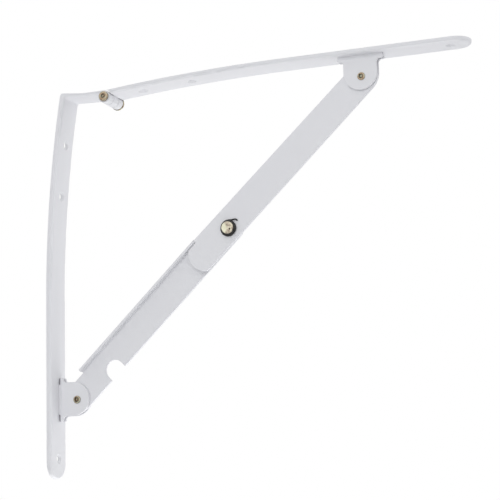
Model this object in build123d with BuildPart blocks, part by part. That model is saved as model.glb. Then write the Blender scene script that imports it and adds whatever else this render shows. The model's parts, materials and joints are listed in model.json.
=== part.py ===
from build123d import *
import os
from math import asin, atan2, cos, degrees, hypot, radians, sin, sqrt, tan

# Folding shelf bracket, open: a wall leg, a hinged shelf arm and a two-link strut between them.
# X points out from the wall, Y across the bracket, Z up. X = 0 is the wall, Z = 0 the underside
# of the shelf and Y = 0 the middle of both strips. All sizes are millimetres.

os.makedirs("parts", exist_ok=True)

# ---- sheet and strips --------------------------------------------------------------------
SHEET = 2.0            # thickness of every pressed piece
STRIP_W = 26.0         # width of the leg and of the arm
LEG_T = 4.1            # depth of the leg over its turned rims
ARM_T = 3.3            # depth of the arm over its turned rims
LEG_RIM_H = LEG_T - SHEET
ARM_RIM_H = ARM_T - SHEET
POCKET_W = STRIP_W - 2 * SHEET
SHOULDER_R = 1.8       # rounding where a strip's face turns into its rims
HALF_W = STRIP_W / 2
CLEAR = 10.0           # how far a cutting outline reaches past what it cuts
NEAR = 0.01            # tolerance when edges are picked by their place

# ---- wall leg: straight at the bottom, bowed at the top, then bent out into a tab ---------
LEG_LEN = 311.8        # along the back, from the tip to the corner
LEG_BOW_LEN = 169.5
LEG_BOW = radians(9.09)
CORNER_Z = -5.1
CORNER_R = 2.5         # outside of the bend
BEND_R = 2.0           # inside of the bend
TAB_SLOPE = radians(2.9)
TAB_LEVEL_X = 33.0     # from here the tab runs level to the hinge
TAB_RIM_END = 42.0     # where the rims have faded out along the tab

LEG_R = LEG_BOW_LEN / LEG_BOW
LEG_BOW_Z = CORNER_Z - LEG_R * sin(LEG_BOW)
LEG_TIP_Z = LEG_BOW_Z - (LEG_LEN - LEG_BOW_LEN)
CORNER_X = LEG_R * (1 - cos(LEG_BOW))

# ---- shelf arm: bowed at the hinge, straight towards the tip -------------------------------
ARM_TIP_X = 352.5
ARM_START_X = 54.6
ARM_BOW_LEN = 150.5
ARM_BOW = radians(5.422)

ARM_R = ARM_BOW_LEN / ARM_BOW
ARM_BOW_X = ARM_START_X + ARM_R * sin(ARM_BOW)
ARM_LEN = ARM_BOW_LEN + ARM_TIP_X - ARM_BOW_X

# ---- screw holes, by their distance from the tip along each strip -------------------------
SCREW_HOLES = (16.0, 228.6, 271.3)
SCREW_R = 2.3
SINK_R = 3.8
SINK_ANGLE = 90.0

# ---- hinge -------------------------------------------------------------------------------
HINGE_X = 52.7
HINGE_Z = -12.25
PIN_R = 2.95
PIN_HEAD_R = 3.9       # near head
PIN_HEAD_H = 2.3
PIN_END_R = 5.0        # flattened far end
PIN_END_H = 1.5
PIN_ROUND = 0.8
RUN_FIT = 0.05         # radial clearance where a pin turns
SNUG_FIT = 0.02        # radial clearance where a pin is held
KNUCKLE_R = PIN_R + RUN_FIT + SHEET
KNUCKLE_W = 9.0        # middle knuckle, on the arm
KNUCKLE_GAP = 0.3
ARM_END_GAP = 0.7      # from the outer knuckles to the end of the arm's strip
TONGUE_LAP = 1.5       # how far the arm's tongue reaches into its strip

# ---- strut -------------------------------------------------------------------------------
WALL_EAR_PIVOT = 16.35     # height of the end pivots above the strips' faces
ARM_EAR_PIVOT = 17.15
WALL_PIVOT = (LEG_T + WALL_EAR_PIVOT, LEG_TIP_Z + 62.0)
ARM_PIVOT = (ARM_TIP_X - 85.18, -ARM_T - ARM_EAR_PIVOT)
LOWER_HOLES = 184.2    # hole distance of the lower link
OVER_CENTRE = 1.12     # how far the middle joint stands past the line between the end pivots
LAYER_GAP = 0.3        # side clearance between neighbouring sheets
WALL_BRACKET_Y = 3.4   # middle of the wall bracket's fold, and of the lower link's web
ARM_BRACKET_Y = -3.4   # middle of the arm bracket's fold, and of the upper link

LOWER_EDGE = -10.45     # lower link, in its own frame: edges from the wall pivot's height
LOWER_WEB_EDGE = 12.3
LOWER_FLANGE = 15.2
LOWER_HOLE_SHIFT = 1.84    # the middle hole lies this much nearer the lower edge
FLANGE_START = 18.0
FLANGE_END = 157.5
NOTCH_X = 38.6
NOTCH_Y = -6.4
NOTCH_R = 8.0
LINK_BEND_R = 2.4

UPPER_EDGE_LOW = -10.6     # upper link, in its own frame: edges from the middle joint's height
UPPER_EDGE_TOP = 15.25
UPPER_END_LOW = -9.95      # the link narrows a little towards the arm
UPPER_END_TOP = 14.15
UPPER_HOLE_SHIFT = 2.3
TAIL_EDGE = 12.7
TAIL_SHOULDER = -26.7
TAIL_END = -41.4
TAIL_END_R = 14.0
TAIL_CORNER_R = 3.0
TAIL_LOW_R = 5.0       # corner of the tail at its lower edge
TAIL_NOOK_R = 0.8      # inside the step from the tail to the full width
TAIL_STEP_R = 0.6      # on the step's corner

# ---- ear brackets: a strip of sheet folded into a hairpin and welded to its strip ----------
WALL_EAR_BASE = 34.6   # length of the fold along the strip
ARM_EAR_BASE = 36.4
EAR_W = 26.7
EAR_END = 10.4         # pivot to the rounded end
EAR_SHIFT = 0.85       # the ears stand this much nearer the corner than their pivot
EAR_FOLD_R = SHEET + LAYER_GAP + SHEET / 2
EAR_SHOULDER = 3.9     # height of the full-length part of the fold
EAR_FILLET = 2.8
EAR_CORNER_R = 1.0
WALL_WELD_LEN = 24.0
ARM_WELD_LEN = 35.6
WELD_LEG = 1.9
WELD_SINK = 0.5        # the weld stays this far inside the ears' faces

# ---- rivets and the middle joint -----------------------------------------------------------
RIVET_R = 2.4
RIVET_HEAD_R = 3.1
RIVET_HEAD_H = 0.8
RIVET_ROUND = 0.55
DIMPLE_R = 1.9         # ring-shaped dent in a rivet's head, round a raised middle
DIMPLE_FLOOR_R = 1.5
DIMPLE_MID_R = 0.7
DIMPLE_H = 0.6
STUD_R = 3.0
STUD_HEAD_R = 4.8
STUD_HEAD_H = 1.3
STUD_FACE = 4.4        # front of the stud's head above the upper link
BUSH_R = 5.5
STUD_EDGE_R = 0.5
BUSH_EDGE_R = 0.4
SPRING_WIRE_R = 0.6
SPRING_BASE_R = 6.7
SPRING_TOP_R = 5.3
SPRING_TURNS = 1.6
SPRING_GAP = 0.05      # the spring lies this far off the link and the stud's head


# ---- derived points ------------------------------------------------------------------------
span_x = ARM_PIVOT[0] - WALL_PIVOT[0]
span_z = ARM_PIVOT[1] - WALL_PIVOT[1]
span = hypot(span_x, span_z)
along = sqrt(LOWER_HOLES**2 - OVER_CENTRE**2)
MIDDLE = (
    WALL_PIVOT[0] + (along * span_x + OVER_CENTRE * span_z) / span,
    WALL_PIVOT[1] + (along * span_z - OVER_CENTRE * span_x) / span,
)
UPPER_HOLES = hypot(ARM_PIVOT[0] - MIDDLE[0], ARM_PIVOT[1] - MIDDLE[1])

WEB_BACK = WALL_BRACKET_Y + SHEET / 2
WEB_FRONT = WALL_BRACKET_Y - SHEET / 2
PLATE_BACK = ARM_BRACKET_Y + SHEET / 2
PLATE_FRONT = ARM_BRACKET_Y - SHEET / 2
FLANGE_EDGE = PLATE_BACK + LAYER_GAP


def leg_point(up_from_tip, depth):
    """Point of the leg (x, z) and its lean, by the distance from the tip along the back."""
    straight = LEG_LEN - LEG_BOW_LEN
    if up_from_tip <= straight:
        return depth, LEG_TIP_Z + up_from_tip, 0.0
    lean = (up_from_tip - straight) / LEG_R
    x = LEG_R - (LEG_R - depth) * cos(lean)
    z = LEG_BOW_Z + (LEG_R - depth) * sin(lean)
    return x, z, lean


def arm_point(back_from_tip, depth):
    """Point of the arm (x, z) and its lean, by the distance from the tip along the top."""
    straight = ARM_TIP_X - ARM_BOW_X
    if back_from_tip <= straight:
        return ARM_TIP_X - back_from_tip, -depth, 0.0
    lean = (back_from_tip - straight) / ARM_R
    x = ARM_BOW_X - (ARM_R - depth) * sin(lean)
    z = -ARM_R + (ARM_R - depth) * cos(lean)
    return x, z, lean


def tab_top(x):
    """Height of the tab's top face, which ends level with the top of the knuckles."""
    return HINGE_Z + KNUCKLE_R + max(0.0, TAB_LEVEL_X - x) * tan(TAB_SLOPE)


def leg_meets(depth, drop):
    """Where the leg's line at this depth meets the tab's line this far below its top face."""
    x, z, lean = leg_point(LEG_LEN, depth)
    for _ in range(6):
        z = tab_top(x) - drop
        lean = asin((z - LEG_BOW_Z) / (LEG_R - depth))
        x = LEG_R - (LEG_R - depth) * cos(lean)
    return x, z, lean


# ---- wall leg ------------------------------------------------------------------------------
def leg_profile():
    """Side view of the whole leg with its tab, as deep as the rims."""
    inner_x, inner_z, inner_lean = leg_meets(LEG_T, SHEET / cos(TAB_SLOPE))
    level = HINGE_Z + KNUCKLE_R
    with BuildSketch(Plane.XZ) as profile:
        with BuildLine():
            Line((LEG_T, LEG_TIP_Z), (0, LEG_TIP_Z))
            Line((0, LEG_TIP_Z), (0, LEG_BOW_Z))
            CenterArc((LEG_R, LEG_BOW_Z), LEG_R, 180, -degrees(LEG_BOW))
            Polyline((CORNER_X, CORNER_Z), (TAB_LEVEL_X, level), (HINGE_X, level))
            Polyline((HINGE_X, level), (HINGE_X, level - SHEET), (TAB_LEVEL_X, level - SHEET))
            Line((TAB_LEVEL_X, level - SHEET), (inner_x, inner_z))
            CenterArc((LEG_R, LEG_BOW_Z), LEG_R - LEG_T, 180, -degrees(inner_lean))
            Line((LEG_T, LEG_BOW_Z), (LEG_T, LEG_TIP_Z))
        make_face()
        fillet(profile.vertices().sort_by_distance((CORNER_X, CORNER_Z))[0], CORNER_R)
        fillet(profile.vertices().sort_by_distance((inner_x, inner_z))[0], BEND_R)
    return profile.sketch


def leg_pocket():
    """The hollow between the rims, open to the wall, running round the bend into the tab."""
    web_x, web_z, web_lean = leg_meets(LEG_RIM_H, 0)
    level = HINGE_Z + KNUCKLE_R
    with BuildPart() as pocket:
        with BuildSketch(Plane.XZ) as outside:
            with BuildLine():
                Polyline((LEG_RIM_H, LEG_TIP_Z), (-CLEAR, LEG_TIP_Z), (-CLEAR, CLEAR))
                Polyline((-CLEAR, CLEAR), (TAB_RIM_END, CLEAR), (TAB_RIM_END, level))
                Polyline((TAB_RIM_END, level), (TAB_LEVEL_X, level), (web_x, web_z))
                CenterArc((LEG_R, LEG_BOW_Z), LEG_R - LEG_RIM_H, 180, -degrees(web_lean))
                Line((LEG_RIM_H, LEG_BOW_Z), (LEG_RIM_H, LEG_TIP_Z))
            make_face()
            fillet(outside.vertices().sort_by_distance((web_x, web_z))[0], CORNER_R)
        extrude(amount=POCKET_W / 2, both=True)
        with BuildSketch(Plane.YZ):
            with Locations((0, LEG_TIP_Z + HALF_W)):
                Circle(POCKET_W / 2)
                Rectangle(POCKET_W, LEG_LEN + CLEAR, align=(Align.CENTER, Align.MIN))
        extrude(amount=ARM_START_X, both=True, mode=Mode.INTERSECT)
    return pocket.part


def leg_room_side(p):
    """True on the leg's face towards the room and on the underside of its tab."""
    if p.Z < LEG_BOW_Z:
        return p.X > LEG_T - NEAR
    if p.X > CORNER_X + 2 * LEG_T:
        return p.Z < tab_top(p.X) - 0.75 * SHEET
    return hypot(p.X - LEG_R, p.Z - LEG_BOW_Z) < LEG_R - LEG_T + NEAR


def leg_shoulders(edges):
    """The long edges of the room side, with the round tip."""
    chosen = []
    for edge in edges:
        p = edge @ 0.5
        outer_edge = abs(p.Y) > HALF_W - NEAR or p.Z < LEG_TIP_Z + NEAR
        if outer_edge and leg_room_side(p):
            chosen.append(edge)
    return chosen


profile = leg_profile()
pocket = leg_pocket()
outer_knuckle = HALF_W - KNUCKLE_W / 2 - KNUCKLE_GAP
with BuildPart() as wall_leg:
    extrude(profile, amount=HALF_W, both=True)
    with BuildSketch(Plane.YZ):
        with Locations((0, LEG_TIP_Z + HALF_W)):
            Circle(HALF_W)
            Rectangle(STRIP_W, LEG_LEN, align=(Align.CENTER, Align.MIN))
    extrude(amount=ARM_START_X, both=True, mode=Mode.INTERSECT)
    fillet(leg_shoulders(wall_leg.edges()), SHOULDER_R)
    add(pocket, mode=Mode.SUBTRACT)
    # slot for the arm's knuckle
    slot_len = 2 * (KNUCKLE_R + KNUCKLE_GAP)
    with Locations((HINGE_X, 0, HINGE_Z)):
        Box(slot_len, KNUCKLE_W + 2 * KNUCKLE_GAP, 4 * KNUCKLE_R, mode=Mode.SUBTRACT)
    for side in (-1, 1):
        with Locations((HINGE_X, side * (HALF_W - outer_knuckle / 2), HINGE_Z)):
            Cylinder(KNUCKLE_R, outer_knuckle, rotation=(90, 0, 0))
    with Locations((HINGE_X, 0, HINGE_Z)):
        Cylinder(PIN_R + SNUG_FIT, 2 * STRIP_W, rotation=(90, 0, 0), mode=Mode.SUBTRACT)
    for distance in SCREW_HOLES:
        x, z, lean = leg_point(distance, LEG_T)
        with Locations(Plane((x, 0, z), x_dir=(0, 1, 0), z_dir=(cos(lean), 0, -sin(lean)))):
            CounterSinkHole(SCREW_R, SINK_R, 3 * LEG_T, SINK_ANGLE)
wall_leg.part.label = "wall_leg"
export_step(wall_leg.part, "parts/wall_leg.step")


# ---- shelf arm -----------------------------------------------------------------------------
def arm_profile(depth_from, depth_to):
    """Side view of the arm between two depths below its top."""
    start_top = arm_point(ARM_LEN, depth_from)
    start_low = arm_point(ARM_LEN, depth_to)
    bow = degrees(ARM_BOW)
    with BuildSketch(Plane.XZ) as profile:
        with BuildLine():
            Line((ARM_TIP_X, -depth_to), (ARM_TIP_X, -depth_from))
            Line((ARM_TIP_X, -depth_from), (ARM_BOW_X, -depth_from))
            CenterArc((ARM_BOW_X, -ARM_R), ARM_R - depth_from, 90, bow)
            Line(start_top[:2], start_low[:2])
            CenterArc((ARM_BOW_X, -ARM_R), ARM_R - depth_to, 90, bow)
            Line((ARM_BOW_X, -depth_to), (ARM_TIP_X, -depth_to))
        make_face()
    return profile.sketch


def arm_shoulders(edges):
    """The long edges of the arm's underside, with the round tip."""
    chosen = []
    for edge in edges:
        p = edge @ 0.5
        outer_edge = abs(p.Y) > HALF_W - NEAR or p.X > ARM_TIP_X - NEAR
        if p.X > ARM_BOW_X:
            underside = p.Z < -ARM_T + NEAR
        else:
            underside = hypot(p.X - ARM_BOW_X, p.Z + ARM_R) < ARM_R - ARM_T + NEAR
        if outer_edge and underside:
            chosen.append(edge)
    return chosen


with BuildPart() as arm_pocket:
    extrude(arm_profile(-SHEET, ARM_RIM_H), amount=POCKET_W / 2, both=True)
    with BuildSketch(Plane.XY):
        with Locations((ARM_TIP_X - HALF_W, 0)):
            Circle(POCKET_W / 2)
            Rectangle(2 * ARM_LEN, POCKET_W, align=(Align.MAX, Align.CENTER))
    extrude(amount=ARM_START_X, both=True, mode=Mode.INTERSECT)

web_start = arm_point(ARM_LEN, ARM_RIM_H)
web_under = arm_point(ARM_LEN, ARM_T)
with BuildPart() as shelf_arm:
    extrude(arm_profile(0, ARM_T), amount=HALF_W, both=True)
    with BuildSketch(Plane.XY):
        with Locations((ARM_TIP_X - HALF_W, 0)):
            Circle(HALF_W)
            Rectangle(ARM_LEN, STRIP_W, align=(Align.MAX, Align.CENTER))
    extrude(amount=ARM_START_X, both=True, mode=Mode.INTERSECT)
    fillet(arm_shoulders(shelf_arm.edges()), SHOULDER_R)
    add(arm_pocket.part, mode=Mode.SUBTRACT)
    # room for the leg's knuckles under the end of the strip
    for side in (-1, 1):
        with Locations((HINGE_X, side * (KNUCKLE_W + STRIP_W) / 2, HINGE_Z)):
            Cylinder(KNUCKLE_R + ARM_END_GAP, STRIP_W, rotation=(90, 0, 0), mode=Mode.SUBTRACT)
    # tongue from the strip to the middle knuckle
    with BuildSketch(Plane.XZ):
        with BuildLine():
            Polyline(
                (HINGE_X, HINGE_Z + KNUCKLE_R),
                (web_start[0], web_start[1]),
                (web_start[0] + TONGUE_LAP, web_start[1] + TONGUE_LAP * tan(ARM_BOW)),
                (web_under[0] + TONGUE_LAP, web_under[1] + TONGUE_LAP * tan(ARM_BOW)),
                (web_under[0], web_under[1]),
                (HINGE_X, HINGE_Z + KNUCKLE_R - SHEET),
                close=True,
            )
        make_face()
    extrude(amount=KNUCKLE_W / 2, both=True)
    with Locations((HINGE_X, 0, HINGE_Z)):
        Cylinder(KNUCKLE_R, KNUCKLE_W, rotation=(90, 0, 0))
        Cylinder(PIN_R + RUN_FIT, STRIP_W, rotation=(90, 0, 0), mode=Mode.SUBTRACT)
    for distance in SCREW_HOLES:
        x, z, lean = arm_point(distance, ARM_T)
        with Locations(Plane((x, 0, z), x_dir=(0, 1, 0), z_dir=(sin(lean), 0, -cos(lean)))):
            CounterSinkHole(SCREW_R, SINK_R, 3 * ARM_T, SINK_ANGLE)
shelf_arm.part.label = "shelf_arm"
export_step(shelf_arm.part, "parts/shelf_arm.step")


# ---- turned pieces: every one is revolved about an axis along Y -----------------------------
def turned(x, z, points, rounded, radius):
    """Solid turned about the axis through (x, z); the points are (radius, y) pairs."""
    with BuildPart() as piece:
        with BuildSketch(Plane((x, 0, z), x_dir=(1, 0, 0), z_dir=(0, 0, 1))) as half:
            with BuildLine():
                Polyline(*points, close=True)
            make_face()
            for corner in rounded:
                fillet(half.vertices().sort_by_distance(corner)[0], radius)
        revolve(axis=Axis((x, 0, z), (0, 1, 0)))
    return piece.part


def rivet(x, z, shank_r, head, end, rounding, front, back):
    """Pin with a dented head and a flattened end, each given by its radius and height."""
    head_r, head_h = head
    end_r, end_h = end
    low = front - head_h
    high = back + end_h
    points = (
        (0, low + DIMPLE_H / 2),
        (DIMPLE_MID_R, low + DIMPLE_H / 2),
        (DIMPLE_MID_R, low + DIMPLE_H),
        (DIMPLE_FLOOR_R, low + DIMPLE_H),
        (DIMPLE_R, low),
        (head_r, low),
        (head_r, front),
        (shank_r, front),
        (shank_r, back),
        (end_r, back),
        (end_r, high),
        (DIMPLE_R, high),
        (0, high - DIMPLE_H / 2),
    )
    return turned(x, z, points, ((head_r, low), (end_r, high)), rounding)


with BuildPart() as hinge_pin:
    pin_head = (PIN_HEAD_R, PIN_HEAD_H)
    pin_end = (PIN_END_R, PIN_END_H)
    add(rivet(HINGE_X, HINGE_Z, PIN_R, pin_head, pin_end, PIN_ROUND, -HALF_W, HALF_W))
hinge_pin.part.label = "hinge_pin"
export_step(hinge_pin.part, "parts/hinge_pin.step")

rivet_head = (RIVET_HEAD_R, RIVET_HEAD_H)
with BuildPart() as wall_pivot_rivet:
    front = WALL_BRACKET_Y - EAR_FOLD_R
    back = WALL_BRACKET_Y + EAR_FOLD_R
    add(rivet(*WALL_PIVOT, RIVET_R, rivet_head, rivet_head, RIVET_ROUND, front, back))
wall_pivot_rivet.part.label = "wall_pivot_rivet"
export_step(wall_pivot_rivet.part, "parts/wall_pivot_rivet.step")

with BuildPart() as arm_pivot_rivet:
    front = ARM_BRACKET_Y - EAR_FOLD_R
    back = ARM_BRACKET_Y + EAR_FOLD_R
    add(rivet(*ARM_PIVOT, RIVET_R, rivet_head, rivet_head, RIVET_ROUND, front, back))
arm_pivot_rivet.part.label = "arm_pivot_rivet"
export_step(arm_pivot_rivet.part, "parts/arm_pivot_rivet.step")


# ---- ear brackets --------------------------------------------------------------------------
def ear_bracket(root, base, shift, pivot, weld_len):
    """Hairpin bracket. In root, x points out of the strip, y along it and z to the near side."""
    fold = EAR_FOLD_R
    end_centre = pivot + EAR_END - EAR_W / 2
    reach = end_centre + EAR_W
    fold_plane = Plane(root.origin + root.y_dir * (shift - base / 2), x_dir=root.x_dir, z_dir=root.y_dir)
    weld_plane = Plane(
        root.origin + root.y_dir * (shift - weld_len / 2), x_dir=root.x_dir, z_dir=root.y_dir
    )
    with BuildPart() as bracket:
        with BuildSketch(fold_plane):
            with Locations((fold, 0)):
                Circle(fold)
                Rectangle(reach, 2 * fold, align=(Align.MIN, Align.CENTER))
                Circle(fold - SHEET, mode=Mode.SUBTRACT)
                Rectangle(reach, 2 * (fold - SHEET), align=(Align.MIN, Align.CENTER), mode=Mode.SUBTRACT)
        extrude(amount=base)
        with BuildSketch(root) as outline:
            with Locations((0, shift)):
                Rectangle(EAR_SHOULDER, base, align=(Align.MIN, Align.CENTER))
                Rectangle(end_centre, EAR_W, align=(Align.MIN, Align.CENTER))
            with Locations((end_centre, shift)):
                Circle(EAR_W / 2)
            for y in (-EAR_W / 2, EAR_W / 2):
                nook = outline.vertices().sort_by_distance((EAR_SHOULDER, y + shift))[0]
                fillet(nook, EAR_FILLET)
            for y in (-base / 2, base / 2):
                corner = outline.vertices().sort_by_distance((EAR_SHOULDER, y + shift))[0]
                fillet(corner, EAR_CORNER_R)
        extrude(amount=2 * fold, both=True, mode=Mode.INTERSECT)
        # weld filling the crevice on both sides of the fold
        with BuildSketch(weld_plane):
            Rectangle(WELD_LEG, 2 * (fold - WELD_SINK), align=(Align.MIN, Align.CENTER))
        extrude(amount=weld_len)
        with BuildSketch(root):
            with Locations((pivot, 0)):
                Circle(RIVET_R + SNUG_FIT)
        extrude(amount=2 * fold, both=True, mode=Mode.SUBTRACT)
    return bracket.part


near = (0, -1, 0)
with BuildPart() as wall_ear_bracket:
    wall_root = Plane((LEG_T, WALL_BRACKET_Y, WALL_PIVOT[1]), x_dir=(1, 0, 0), z_dir=near)
    add(ear_bracket(wall_root, WALL_EAR_BASE, EAR_SHIFT, WALL_EAR_PIVOT, WALL_WELD_LEN))
wall_ear_bracket.part.label = "wall_ear_bracket"
export_step(wall_ear_bracket.part, "parts/wall_ear_bracket.step")

with BuildPart() as arm_ear_bracket:
    arm_root = Plane((ARM_PIVOT[0], ARM_BRACKET_Y, -ARM_T), x_dir=(0, 0, -1), z_dir=near)
    add(ear_bracket(arm_root, ARM_EAR_BASE, -EAR_SHIFT, ARM_EAR_PIVOT, ARM_WELD_LEN))
arm_ear_bracket.part.label = "arm_ear_bracket"
export_step(arm_ear_bracket.part, "parts/arm_ear_bracket.step")


# ---- lower link: L-shaped strip, its flange on the upper edge ------------------------------
link_run = sqrt(LOWER_HOLES**2 - LOWER_HOLE_SHIFT**2)
lower_angle = atan2(MIDDLE[1] - WALL_PIVOT[1], MIDDLE[0] - WALL_PIVOT[0])
lower_angle += asin(LOWER_HOLE_SHIFT / LOWER_HOLES)
lower_plane = Plane(
    (WALL_PIVOT[0], WEB_BACK, WALL_PIVOT[1]),
    x_dir=(cos(lower_angle), 0, sin(lower_angle)),
    z_dir=near,
)
web_mid = (LOWER_WEB_EDGE + LOWER_EDGE) / 2
web_w = LOWER_WEB_EDGE - LOWER_EDGE
with BuildPart() as lower_link:
    with BuildSketch(lower_plane):
        for x in (0, link_run):
            with Locations((x, web_mid)):
                Circle(web_w / 2)
        with Locations((0, web_mid)):
            Rectangle(link_run, web_w, align=(Align.MIN, Align.CENTER))
        with Locations((FLANGE_START, web_mid)):
            flange_len = FLANGE_END - FLANGE_START
            Rectangle(flange_len, LOWER_FLANGE - web_mid, align=(Align.MIN, Align.MIN))
    extrude(amount=SHEET)
    with BuildSketch(lower_plane):
        with Locations((FLANGE_START, LOWER_FLANGE)):
            Rectangle(flange_len, SHEET, align=(Align.MIN, Align.MAX))
    extrude(amount=WEB_BACK - FLANGE_EDGE)
    outer_bend = lower_plane.from_local_coords((FLANGE_START + flange_len / 2, LOWER_FLANGE, 0))
    fillet(lower_link.edges().sort_by_distance(outer_bend)[0], LINK_BEND_R)
    inner_bend = lower_plane.from_local_coords(
        (FLANGE_START + flange_len / 2, LOWER_FLANGE - SHEET, SHEET)
    )
    fillet(lower_link.edges().sort_by_distance(inner_bend)[0], LINK_BEND_R - SHEET)
    with BuildSketch(lower_plane):
        with Locations((NOTCH_X, NOTCH_Y)):
            Circle(NOTCH_R)
            Rectangle(2 * NOTCH_R, STRIP_W, align=(Align.CENTER, Align.MAX))
        Circle(RIVET_R + RUN_FIT)
        with Locations((link_run, -LOWER_HOLE_SHIFT)):
            Circle(STUD_R + SNUG_FIT)
    extrude(amount=SHEET, mode=Mode.SUBTRACT)
lower_link.part.label = "lower_link"
export_step(lower_link.part, "parts/lower_link.step")


# ---- upper link: flat plate with a narrower tail past the middle joint ---------------------
upper_run = sqrt(UPPER_HOLES**2 - UPPER_HOLE_SHIFT**2)
upper_angle = atan2(ARM_PIVOT[1] - MIDDLE[1], ARM_PIVOT[0] - MIDDLE[0])
upper_angle -= asin(UPPER_HOLE_SHIFT / UPPER_HOLES)
upper_plane = Plane(
    (MIDDLE[0], PLATE_BACK, MIDDLE[1]),
    x_dir=(cos(upper_angle), 0, sin(upper_angle)),
    z_dir=near,
)
end_mid = (UPPER_END_TOP + UPPER_END_LOW) / 2
end_w = UPPER_END_TOP - UPPER_END_LOW
tail_mid = (TAIL_EDGE + UPPER_EDGE_LOW) / 2
tail_w = TAIL_EDGE - UPPER_EDGE_LOW
tail_corner_x = TAIL_END + TAIL_END_R - sqrt(TAIL_END_R**2 - (tail_w / 2) ** 2)
with BuildPart() as upper_link:
    with BuildSketch(upper_plane) as plate:
        with BuildLine():
            Polyline(
                (tail_corner_x, UPPER_EDGE_LOW),
                (upper_run, UPPER_END_LOW),
                (upper_run, UPPER_END_TOP),
                (TAIL_SHOULDER, UPPER_EDGE_TOP),
                (TAIL_SHOULDER, TAIL_EDGE),
                (tail_corner_x, TAIL_EDGE),
            )
            ThreePointArc(
                (tail_corner_x, TAIL_EDGE), (TAIL_END, tail_mid), (tail_corner_x, UPPER_EDGE_LOW)
            )
        make_face()
        fillet(plate.vertices().sort_by_distance((tail_corner_x, TAIL_EDGE))[0], TAIL_CORNER_R)
        fillet(plate.vertices().sort_by_distance((tail_corner_x, UPPER_EDGE_LOW))[0], TAIL_LOW_R)
        fillet(plate.vertices().sort_by_distance((TAIL_SHOULDER, TAIL_EDGE))[0], TAIL_NOOK_R)
        fillet(plate.vertices().sort_by_distance((TAIL_SHOULDER, UPPER_EDGE_TOP))[0], TAIL_STEP_R)
        with Locations((upper_run, end_mid)):
            Circle(end_w / 2)
        Circle(STUD_R + SNUG_FIT, mode=Mode.SUBTRACT)
        with Locations((upper_run, UPPER_HOLE_SHIFT)):
            Circle(RIVET_R + RUN_FIT, mode=Mode.SUBTRACT)
    extrude(amount=SHEET)
upper_link.part.label = "upper_link"
export_step(upper_link.part, "parts/upper_link.step")


# ---- middle joint --------------------------------------------------------------------------
# The stud is in two halves, because the linkage is opened here: the front half turns with the
# upper link and the back half with the lower one, a layer gap apart.
head_face = PLATE_FRONT - STUD_FACE
head_back = head_face + STUD_HEAD_H
front_points = (
    (0, head_face),
    (STUD_HEAD_R, head_face),
    (STUD_HEAD_R, head_back),
    (STUD_R, head_back),
    (STUD_R, PLATE_BACK),
    (0, PLATE_BACK),
)
with BuildPart() as middle_stud_front:
    add(turned(*MIDDLE, front_points, ((STUD_HEAD_R, head_face),), STUD_EDGE_R))
middle_stud_front.part.label = "middle_stud_front"
export_step(middle_stud_front.part, "parts/middle_stud_front.step")

back_face = WEB_BACK + STUD_HEAD_H
back_points = (
    (0, FLANGE_EDGE),
    (STUD_R, FLANGE_EDGE),
    (STUD_R, WEB_BACK),
    (STUD_HEAD_R, WEB_BACK),
    (STUD_HEAD_R, back_face),
    (DIMPLE_R, back_face),
    (0, back_face - DIMPLE_H / 2),
)
with BuildPart() as middle_stud_back:
    add(turned(*MIDDLE, back_points, ((STUD_HEAD_R, back_face),), STUD_EDGE_R))
middle_stud_back.part.label = "middle_stud_back"
export_step(middle_stud_back.part, "parts/middle_stud_back.step")

bush_points = (
    (STUD_R + SNUG_FIT, FLANGE_EDGE),
    (BUSH_R, FLANGE_EDGE),
    (BUSH_R, WEB_FRONT),
    (STUD_R + SNUG_FIT, WEB_FRONT),
)
with BuildPart() as middle_bush:
    add(turned(*MIDDLE, bush_points, ((BUSH_R, FLANGE_EDGE),), BUSH_EDGE_R))
middle_bush.part.label = "middle_bush"
export_step(middle_bush.part, "parts/middle_bush.step")

# conical wire spring between the stud's head and the upper link, its end bent out sideways
spring_height = PLATE_FRONT - head_back - 2 * (SPRING_WIRE_R + SPRING_GAP)
spring_cone = degrees(atan2(SPRING_TOP_R - SPRING_BASE_R, spring_height))
spring_base = (MIDDLE[0], PLATE_FRONT - SPRING_WIRE_R - SPRING_GAP, MIDDLE[1])
with BuildPart() as middle_spring:
    with BuildLine() as coil:
        Helix(
            spring_height / SPRING_TURNS,
            spring_height,
            SPRING_BASE_R,
            center=spring_base,
            direction=near,
            cone_angle=spring_cone,
        )
    with BuildSketch(Plane(coil.line @ 0, z_dir=coil.line % 0)):
        Circle(SPRING_WIRE_R)
    sweep(is_frenet=True)
middle_spring.part.label = "middle_spring"
export_step(middle_spring.part, "parts/middle_spring.step")
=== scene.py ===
import json
import math

import bmesh
import bpy
from mathutils import Matrix, Vector

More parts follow.
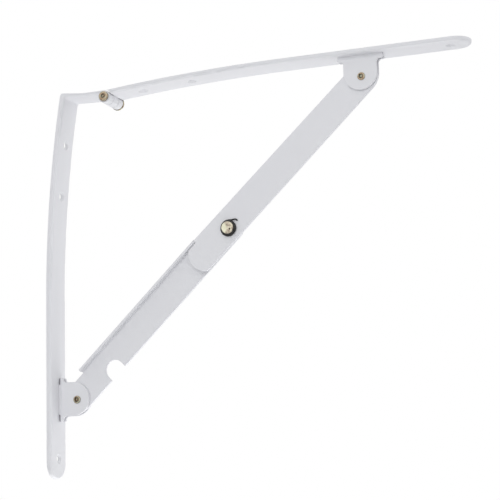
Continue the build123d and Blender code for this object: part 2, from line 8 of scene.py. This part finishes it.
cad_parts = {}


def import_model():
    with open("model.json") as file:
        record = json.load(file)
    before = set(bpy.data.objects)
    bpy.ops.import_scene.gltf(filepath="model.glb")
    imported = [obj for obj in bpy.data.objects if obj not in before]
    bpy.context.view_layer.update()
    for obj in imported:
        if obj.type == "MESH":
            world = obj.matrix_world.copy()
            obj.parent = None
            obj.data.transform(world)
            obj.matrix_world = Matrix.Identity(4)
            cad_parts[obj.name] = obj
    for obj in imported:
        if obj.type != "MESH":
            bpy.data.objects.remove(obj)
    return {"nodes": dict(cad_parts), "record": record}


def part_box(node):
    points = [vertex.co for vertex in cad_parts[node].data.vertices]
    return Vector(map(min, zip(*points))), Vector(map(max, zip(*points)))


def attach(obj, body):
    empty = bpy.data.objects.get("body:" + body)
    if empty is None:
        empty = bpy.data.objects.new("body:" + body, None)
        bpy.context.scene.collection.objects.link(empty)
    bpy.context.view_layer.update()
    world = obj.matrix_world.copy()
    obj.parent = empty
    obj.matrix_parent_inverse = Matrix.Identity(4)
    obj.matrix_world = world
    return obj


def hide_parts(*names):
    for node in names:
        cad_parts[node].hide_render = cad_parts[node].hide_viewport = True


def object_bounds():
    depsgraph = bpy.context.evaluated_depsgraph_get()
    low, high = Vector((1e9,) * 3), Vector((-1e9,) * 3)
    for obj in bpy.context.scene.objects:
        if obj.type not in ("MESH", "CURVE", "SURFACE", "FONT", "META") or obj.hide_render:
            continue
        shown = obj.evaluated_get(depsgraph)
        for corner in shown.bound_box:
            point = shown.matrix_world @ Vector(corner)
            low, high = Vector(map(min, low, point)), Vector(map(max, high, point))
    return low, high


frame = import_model()
cad_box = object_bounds()
nodes = frame["nodes"]
scene = bpy.context.scene

# ---- camera: metres and degrees in the part's frame ---------------------------------------
CAMERA_AT = Vector((0.6294, -1.2179, -0.3790))
CAMERA_YAW = 20.65       # turned towards the wall from straight along +Y
CAMERA_PITCH = 10.141    # looking up
CAMERA_ROLL = -1.383
SENSOR_MM = 36.0
LENS_MM = 122.72


def place_camera():
    yaw = math.radians(CAMERA_YAW)
    pitch = math.radians(CAMERA_PITCH)
    roll = math.radians(CAMERA_ROLL)
    forward = Vector((
        -math.sin(yaw) * math.cos(pitch),
        math.cos(yaw) * math.cos(pitch),
        math.sin(pitch),
    ))
    level = Vector((math.cos(yaw), math.sin(yaw), 0.0))
    upright = level.cross(forward)
    right = level * math.cos(roll) + upright * math.sin(roll)
    up = upright * math.cos(roll) - level * math.sin(roll)
    data = bpy.data.cameras.new("camera")
    data.sensor_width = SENSOR_MM
    data.lens = LENS_MM
    data.clip_start = 0.01
    data.clip_end = 50.0
    camera = bpy.data.objects.new("camera", data)
    turn = Matrix((right, up, -forward)).transposed().to_4x4()
    camera.matrix_world = Matrix.Translation(CAMERA_AT) @ turn
    scene.collection.objects.link(camera)
    scene.camera = camera


# ---- materials ----------------------------------------------------------------------------
NOISE_LOW = 0.3           # the part of a noise texture's range that is spread over the values
NOISE_HIGH = 0.7
EDGE_FULL = 0.80          # agreement of the rounded normal with the true one, at an edge
EDGE_NONE = 0.99          # and on a flat face
RAGGED_SCALE = 900.0      # noise per metre that shifts the rim of a ragged mark


class Nodes:
    """Small helper that builds one node material on object coordinates, in metres."""

    def __init__(self, name):
        self.material = bpy.data.materials.new(name)
        self.material.use_nodes = True
        self.tree = self.material.node_tree
        self.tree.nodes.clear()
        self.output = self.add("ShaderNodeOutputMaterial")
        self.shader = self.add("ShaderNodeBsdfPrincipled")
        self.link(self.shader.outputs["BSDF"], self.output.inputs["Surface"])
        self.place = self.add("ShaderNodeTexCoord").outputs["Object"]

    def add(self, kind, **values):
        node = self.tree.nodes.new(kind)
        for key, value in values.items():
            setattr(node, key, value)
        return node

    def link(self, source, target):
        self.tree.links.new(source, target)

    def noise(self, per_metre, detail=2.0, roughness=0.5, distortion=0.0):
        node = self.add("ShaderNodeTexNoise")
        self.link(self.place, node.inputs["Vector"])
        node.inputs["Scale"].default_value = per_metre
        node.inputs["Detail"].default_value = detail
        node.inputs["Roughness"].default_value = roughness
        node.inputs["Distortion"].default_value = distortion
        return node.outputs["Fac"]

    def ramp(self, source, stops):
        node = self.add("ShaderNodeValToRGB")
        self.link(source, node.inputs["Fac"])
        elements = node.color_ramp.elements
        while len(elements) < len(stops):
            elements.new(0.5)
        for element, (at, color) in zip(elements, stops):
            element.position = at
            element.color = (*color, 1.0)
        return node.outputs["Color"]

    def spread(self, source, low, high, target):
        node = self.add("ShaderNodeMapRange")
        self.link(source, node.inputs["Value"])
        node.inputs["From Min"].default_value = NOISE_LOW
        node.inputs["From Max"].default_value = NOISE_HIGH
        node.inputs["To Min"].default_value = low
        node.inputs["To Max"].default_value = high
        self.link(node.outputs["Result"], target)

    def crevices(self, reach, dark_below, clear_above):
        """1 on open surface, falling to 0 deep in a corner or a dent."""
        node = self.add("ShaderNodeAmbientOcclusion", samples=8)
        node.inputs["Distance"].default_value = reach
        clip = self.add("ShaderNodeMapRange")
        self.link(node.outputs["AO"], clip.inputs["Value"])
        clip.inputs["From Min"].default_value = dark_below
        clip.inputs["From Max"].default_value = clear_above
        return clip.outputs["Result"]

    def edges(self, radius):
        """1 along sharp outer and inner edges, 0 on flat surface."""
        bevel = self.add("ShaderNodeBevel", samples=6)
        bevel.inputs["Radius"].default_value = radius
        agree = self.add("ShaderNodeVectorMath", operation="DOT_PRODUCT")
        self.link(bevel.outputs["Normal"], agree.inputs[0])
        self.link(self.add("ShaderNodeNewGeometry").outputs["Normal"], agree.inputs[1])
        clip = self.add("ShaderNodeMapRange")
        self.link(agree.outputs["Value"], clip.inputs["Value"])
        clip.inputs["From Min"].default_value = EDGE_FULL
        clip.inputs["From Max"].default_value = EDGE_NONE
        clip.inputs["To Min"].default_value = 1.0
        clip.inputs["To Max"].default_value = 0.0
        return clip.outputs["Result"]

    def near_point(self, point, full, none, ragged=0.0):
        """1 within the first distance of a point, 0 beyond the second; ragged shifts the rim."""
        away = self.add("ShaderNodeVectorMath", operation="DISTANCE")
        self.link(self.place, away.inputs[0])
        away.inputs[1].default_value = point
        distance = away.outputs["Value"]
        if ragged:
            shifted = self.add("ShaderNodeMath", operation="MULTIPLY_ADD")
            self.link(self.noise(RAGGED_SCALE, detail=2.0), shifted.inputs[0])
            shifted.inputs[1].default_value = ragged
            self.link(distance, shifted.inputs[2])
            distance = shifted.outputs["Value"]
        clip = self.add("ShaderNodeMapRange")
        self.link(distance, clip.inputs["Value"])
        clip.inputs["From Min"].default_value = full
        clip.inputs["From Max"].default_value = none
        clip.inputs["To Min"].default_value = 1.0
        clip.inputs["To Max"].default_value = 0.0
        return clip.outputs["Result"]

    def blend(self, factor, first, second, mode="MIX"):
        node = self.add("ShaderNodeMix", data_type="RGBA", blend_type=mode)
        sockets = (node.inputs[0], node.inputs[6], node.inputs[7])
        for value, target in zip((factor, first, second), sockets):
            if isinstance(value, float):
                target.default_value = value
            elif isinstance(value, tuple):
                target.default_value = (*value, 1.0)
            else:
                self.link(value, target)
        return node.outputs[2]

    def scaled(self, source, factor):
        node = self.add("ShaderNodeMath", operation="MULTIPLY")
        self.link(source, node.inputs[0])
        node.inputs[1].default_value = factor
        return node.outputs["Value"]

    def bump(self, heights):
        normal = None
        for height, distance, strength in heights:
            node = self.add("ShaderNodeBump")
            node.inputs["Distance"].default_value = distance
            node.inputs["Strength"].default_value = strength
            self.link(height, node.inputs["Height"])
            if normal is not None:
                self.link(normal, node.inputs["Normal"])
            normal = node.outputs["Normal"]
        self.link(normal, self.shader.inputs["Normal"])


COAT_EDGE_SHADE_REACH = 0.0005        # reach of the painted shade along the sheet's edges and in its inner corners, which also stands for a thinner coat on the outer edges
COAT_EDGE_SHADE_SHARE = 0.42
# reach of the painted shade in corners, creases and gaps
CORNER_SHADE_REACH = 0.0018


def powder_coat():
    """White powder coat: a faint lilac drift, orange peel, painted shade along the edges and in the
    corners.
    """
    m = Nodes("white_powder_coat")
    drift = m.noise(14.0, detail=3.0)
    coat = m.ramp(drift, ((0.3, (0.785, 0.787, 0.816)), (0.7, (0.805, 0.807, 0.830))))
    # painted shade: outer edges and inner corners are darkened towards grey, on the outer edges
    # also standing for a thinner coat
    coat_edge_shaded = m.blend(m.scaled(m.edges(COAT_EDGE_SHADE_REACH), COAT_EDGE_SHADE_SHARE), coat, (0.40, 0.40, 0.43))
    # painted shade: corners, creases and gaps, found by ambient occlusion, are darkened to pale
    # grey
    open_face = m.crevices(CORNER_SHADE_REACH, 0.15, 0.50)
    m.link(m.blend(open_face, (0.50, 0.49, 0.52), coat_edge_shaded), m.shader.inputs["Base Color"])
    m.spread(m.noise(45.0, detail=3.0), 0.36, 0.46, m.shader.inputs["Roughness"])
    m.shader.inputs["IOR"].default_value = 1.5
    m.shader.inputs["Specular IOR Level"].default_value = 0.35
    orange_peel = (m.noise(700.0, detail=1.0), 0.00006, 0.35)
    grain = (m.noise(2600.0, detail=2.0), 0.00002, 0.25)
    m.bump((orange_peel, grain))
    return m.material


# painted shade of a groove in the heads of the two pivot rivets: dark marks, right and up from
# their middles
RIVET_GROOVE_SHADE_MARKS = ((-0.0011, 0.0012), (-0.0014, 0.0002), (-0.0011, -0.0008), (-0.0002, -0.0013))
GROOVE_FULL = 0.0007
GROOVE_NONE = 0.0014
GROOVE_RAGGED = 0.0008
GROOVE_SHADE_COLOR = (0.012, 0.008, 0.005)
# reach and share of the painted shade along the steel's edges and in its inner corners
STEEL_EDGE_SHADE_REACH = 0.0007
STEEL_EDGE_SHADE_SHARE = 0.8
# reach of the painted shade in the steel's dents, corners and gaps
CREVICE_SHADE_REACH = 0.0020


def passivated_steel():
    """Dulled yellow passivation over steel: beige, brown and grey-green patches, with painted shade
    along the edges, in dents and corners, and in a groove on each pivot rivet.
    """
    m = Nodes("passivated_steel")
    patches = m.noise(520.0, detail=4.0, roughness=0.65)
    stains = (
        (0.30, (0.13, 0.085, 0.050)),
        (0.42, (0.36, 0.25, 0.16)),
        (0.52, (0.45, 0.37, 0.26)),
        (0.62, (0.36, 0.41, 0.32)),
        (0.72, (0.60, 0.52, 0.36)),
    )
    # painted shade: outer edges and inner corners of the steel parts are darkened to near-black
    # brown, mixed into the real stains
    edge = m.scaled(m.edges(STEEL_EDGE_SHADE_REACH), STEEL_EDGE_SHADE_SHARE)
    stains_and_shade = m.blend(edge, m.ramp(patches, stains), (0.075, 0.045, 0.022))
    # painted shade: a ragged near-black groove mark on each pivot rivet's head
    for node in ("wall_pivot_rivet", "arm_pivot_rivet"):
        low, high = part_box(node)
        for right, up in RIVET_GROOVE_SHADE_MARKS:
            point = ((low[0] + high[0]) / 2 + right, low[1], (low[2] + high[2]) / 2 + up)
            groove_shade = m.near_point(point, GROOVE_FULL, GROOVE_NONE, ragged=GROOVE_RAGGED)
            stains_and_shade = m.blend(groove_shade, stains_and_shade, GROOVE_SHADE_COLOR)
    # painted shade: dents, corners and gaps, found by ambient occlusion, are darkened to near black
    open_face = m.crevices(CREVICE_SHADE_REACH, 0.60, 0.93)
    m.link(m.blend(open_face, (0.030, 0.020, 0.010), stains_and_shade), m.shader.inputs["Base Color"])
    m.shader.inputs["Metallic"].default_value = 0.7
    m.spread(m.noise(900.0, detail=2.0), 0.30, 0.5, m.shader.inputs["Roughness"])
    m.bump(((m.noise(1500.0, detail=3.0), 0.0002, 0.6),))
    return m.material


PIT_RIGHT = 0.0022        # a small pit in the stud's head, off its middle
PIT_DOWN = 0.0013
CREAM_LEFT = 0.0052       # middle of the cream patch, from the stud's middle
CREAM_DOWN = 0.0004


def plated_stud():
    """Pale yellow plating: cream on one side, pinkish and brown clouds on the other, one pit."""
    m = Nodes("plated_stud")
    low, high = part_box("middle_stud_front")
    middle_x = (low[0] + high[0]) / 2
    middle_z = (low[2] + high[2]) / 2
    clouds = m.noise(420.0, detail=4.0, roughness=0.6, distortion=0.4)
    stains = (
        (0.32, (0.16, 0.12, 0.09)),
        (0.45, (0.38, 0.32, 0.25)),
        (0.56, (0.60, 0.54, 0.42)),
        (0.72, (0.76, 0.72, 0.56)),
    )
    creams = ((0.3, (0.64, 0.62, 0.46)), (0.7, (0.76, 0.74, 0.58)))
    cream = m.ramp(m.noise(260.0, detail=2.0), creams)
    cream_at = (middle_x - CREAM_LEFT, low[1], middle_z - CREAM_DOWN)
    clean_side = m.near_point(cream_at, 0.0042, 0.0056)
    face = m.blend(clean_side, m.ramp(clouds, stains), cream)
    pit = m.near_point((middle_x + PIT_RIGHT, low[1], middle_z - PIT_DOWN), 0.0006, 0.0010)
    m.link(m.blend(pit, face, (0.05, 0.035, 0.02)), m.shader.inputs["Base Color"])
    m.shader.inputs["Metallic"].default_value = 0.55
    m.spread(m.noise(700.0, detail=2.0), 0.3, 0.5, m.shader.inputs["Roughness"])
    m.bump(((m.noise(1200.0, detail=3.0), 0.00008, 0.4),))
    return m.material


def black_spring():
    """Oil-blackened spring wire with drawing marks."""
    m = Nodes("black_spring_wire")
    blacks = ((0.3, (0.006, 0.006, 0.007)), (0.7, (0.030, 0.029, 0.028)))
    m.link(m.ramp(m.noise(600.0, detail=3.0), blacks), m.shader.inputs["Base Color"])
    m.shader.inputs["Metallic"].default_value = 0.3
    m.spread(m.noise(1500.0, detail=2.0), 0.35, 0.6, m.shader.inputs["Roughness"])
    m.bump(((m.noise(3000.0, detail=2.0), 0.00003, 0.4),))
    return m.material


FINISHES = {
    "white_coat": powder_coat(),
    "passivated_steel": passivated_steel(),
    "plated_stud": plated_stud(),
    "black_spring": black_spring(),
}


def dress_nodes():
    for part in frame["record"]["subparts"]:
        mesh = nodes[part["node"]].data
        mesh.materials.clear()
        mesh.materials.append(FINISHES[part["material_slot"]])


# ---- spring: the CAD coil with its hooked wire end ----------------------------------------
SPRING_WIRE_R = 0.0006
COIL_POINTS = 16          # control points in one turn
COIL_TURNS = 2.25
COIL_CLOSING = 0.78       # radius of the last turn as a share of the first
COIL_START = math.radians(72.0)
# the wire's end beside the coil: right and up, in coil radii
HOOK = ((1.12, 0.84), (1.02, 0.95), (0.87, 1.02), (0.68, 1.01))


def spring_centre():
    low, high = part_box("middle_stud_front")
    return (low[0] + high[0]) / 2, (low[2] + high[2]) / 2



def spring():
    """Conical coil between the upper link and the stud's head; its outer end stands off upwards."""
    low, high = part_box("middle_spring")
    wire = SPRING_WIRE_R
    centre_x, centre_z = spring_centre()
    radius = high[0] - centre_x - wire
    floor_y = high[1] - wire
    top_y = low[1] + wire
    data = bpy.data.curves.new("spring_wire", "CURVE")
    data.dimensions = "3D"
    data.bevel_depth = wire
    data.bevel_resolution = 4
    data.resolution_u = 6
    data.use_fill_caps = True
    turns = int(COIL_TURNS * COIL_POINTS)
    points = [(centre_x + radius * x, floor_y, centre_z + radius * z) for x, z in HOOK]
    for k in range(turns + 1):
        share = k / turns
        angle = COIL_START + 2 * math.pi * COIL_TURNS * share
        r = radius * (1.0 - (1.0 - COIL_CLOSING) * share)
        y = floor_y + (top_y - floor_y) * share
        points.append((centre_x + r * math.cos(angle), y, centre_z + r * math.sin(angle)))
    spline = data.splines.new("NURBS")
    spline.points.add(len(points) - 1)
    for point, place in zip(spline.points, points):
        point.co = (*place, 1.0)
    spline.order_u = 3
    spline.use_endpoint_u = True
    piece = bpy.data.objects.new("spring_wire", data)
    data.materials.append(FINISHES["black_spring"])
    scene.collection.objects.link(piece)
    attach(piece, "upper_strut")
    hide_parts("middle_spring")


# ---- hinge pin: the spread rim at its far end ---------------------------------------------
CAP_REACH = 0.0055        # radius of the rim
CAP_HEIGHT = 0.0021
CAP_ROUND = 0.0008
CAP_SIDES = 64
CAP_STEPS = 5             # straight steps in the rounding of the outer edge
CAP_CHAMFER = 0.0003      # at the inner edge


def pin_end_cap():
    """Domed cap over the far end of the hinge pin, turned about the pin's axis."""
    low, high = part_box("hinge_pin")
    centre_x = (low[0] + high[0]) / 2
    centre_z = (low[2] + high[2]) / 2
    outer_y = high[1]
    inner_y = outer_y - CAP_HEIGHT
    profile = [(CAP_REACH - CAP_CHAMFER, inner_y), (CAP_REACH, inner_y + CAP_CHAMFER)]
    for step in range(CAP_STEPS + 1):
        angle = math.radians(90.0 * step / CAP_STEPS)
        profile.append((
            CAP_REACH - CAP_ROUND * (1.0 - math.cos(angle)),
            outer_y - CAP_ROUND * (1.0 - math.sin(angle)),
        ))
    mesh = bmesh.new()
    rings = []
    for radius, y in profile:
        ring = []
        for k in range(CAP_SIDES):
            turn = 2 * math.pi * k / CAP_SIDES
            x = centre_x + radius * math.cos(turn)
            z = centre_z + radius * math.sin(turn)
            ring.append(mesh.verts.new((x, y, z)))
        rings.append(ring)
    for first, second in zip(rings, rings[1:]):
        for k in range(CAP_SIDES):
            after = (k + 1) % CAP_SIDES
            mesh.faces.new((first[k], first[after], second[after], second[k]))
    mesh.faces.new(reversed(rings[0]))
    mesh.faces.new(rings[-1])
    bmesh.ops.recalc_face_normals(mesh, faces=mesh.faces)
    data = bpy.data.meshes.new("pin_end_cap")
    mesh.to_mesh(data)
    mesh.free()
    for face in data.polygons:
        face.use_smooth = len(face.vertices) == 4
    data.materials.append(FINISHES["passivated_steel"])
    piece = bpy.data.objects.new("pin_end_cap", data)
    scene.collection.objects.link(piece)
    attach(piece, "leg")


# ---- floor and light ----------------------------------------------------------------------
FLOOR_BELOW = 0.12       # the floor lies this far under the bracket, which hangs on a wall
FLOOR_SIZE = 12.0
FLOOR_GLOW = 0.20        # lifts the floor towards white for the camera alone


def floor():
    level = cad_box[0][2] - FLOOR_BELOW
    bpy.ops.mesh.primitive_plane_add(size=FLOOR_SIZE, location=(0.0, 0.0, level))
    plane = bpy.context.object
    plane.name = "floor"
    m = Nodes("pale_floor")
    pales = ((0.3, (0.86, 0.86, 0.86)), (0.7, (0.90, 0.90, 0.90)))
    m.link(m.ramp(m.noise(6.0, detail=3.0), pales), m.shader.inputs["Base Color"])
    m.shader.inputs["Roughness"].default_value = 0.8
    glow = m.add("ShaderNodeEmission")
    seen = m.add("ShaderNodeLightPath")
    m.link(m.scaled(seen.outputs["Is Camera Ray"], FLOOR_GLOW), glow.inputs["Strength"])
    both = m.add("ShaderNodeAddShader")
    m.link(m.shader.outputs["BSDF"], both.inputs[0])
    m.link(glow.outputs["Emission"], both.inputs[1])
    m.link(both.outputs["Shader"], m.output.inputs["Surface"])
    plane.data.materials.append(m.material)


WORLD_STRENGTH = 0.44


def world():
    """Even pale light, and plain white where the camera, glass or gloss sees the surround."""
    surround = bpy.data.worlds.new("surround")
    scene.world = surround
    surround.use_nodes = True
    tree = surround.node_tree
    tree.nodes.clear()
    output = tree.nodes.new("ShaderNodeOutputWorld")
    lit = tree.nodes.new("ShaderNodeBackground")
    seen = tree.nodes.new("ShaderNodeBackground")
    mix = tree.nodes.new("ShaderNodeMixShader")
    path = tree.nodes.new("ShaderNodeLightPath")
    seen.inputs["Color"].default_value = (1.0, 1.0, 1.0, 1.0)
    seen.inputs["Strength"].default_value = 1.0
    lit.inputs["Color"].default_value = (0.97, 0.98, 1.0, 1.0)
    lit.inputs["Strength"].default_value = WORLD_STRENGTH
    first = tree.nodes.new("ShaderNodeMath")
    first.operation = "MAXIMUM"
    tree.links.new(path.outputs["Is Camera Ray"], first.inputs[0])
    tree.links.new(path.outputs["Is Transmission Ray"], first.inputs[1])
    second = tree.nodes.new("ShaderNodeMath")
    second.operation = "MAXIMUM"
    tree.links.new(first.outputs["Value"], second.inputs[0])
    tree.links.new(path.outputs["Is Glossy Ray"], second.inputs[1])
    tree.links.new(second.outputs["Value"], mix.inputs["Fac"])
    tree.links.new(lit.outputs["Background"], mix.inputs[1])
    tree.links.new(seen.outputs["Background"], mix.inputs[2])
    tree.links.new(mix.outputs["Shader"], output.inputs["Surface"])


LAMPS = (
    # name, place, point it faces, size, spread in degrees, watts
    ("front_box", (0.3, -1.7, 0.18), (0.12, 0.0, -0.22), 1.2, 110.0, 3.55),
    ("right_box", (1.5, 0.6, 0.42), (0.17, 0.0, -0.15), 1.6, 120.0, 4.0),
    ("floor_panel", (0.10, 0.25, -0.42), (0.10, 0.25, 0.0), 0.5, 140.0, 0.96),
    ("top_box", (-0.2, -0.6, 1.5), (0.17, 0.0, -0.15), 1.5, 180.0, 5.5),
)


def lamps():
    for name, place, faces, size, spread, watts in LAMPS:
        data = bpy.data.lights.new(name, "AREA")
        data.size = size
        data.spread = math.radians(spread)
        data.energy = watts
        lamp = bpy.data.objects.new(name, data)
        lamp.location = place
        lamp.rotation_euler = (Vector(faces) - Vector(place)).to_track_quat("-Z", "Y").to_euler()
        lamp.visible_camera = False
        scene.collection.objects.link(lamp)


place_camera()
dress_nodes()
spring()
pin_end_cap()
floor()
world()
lamps()
scene.view_settings.view_transform = "Standard"
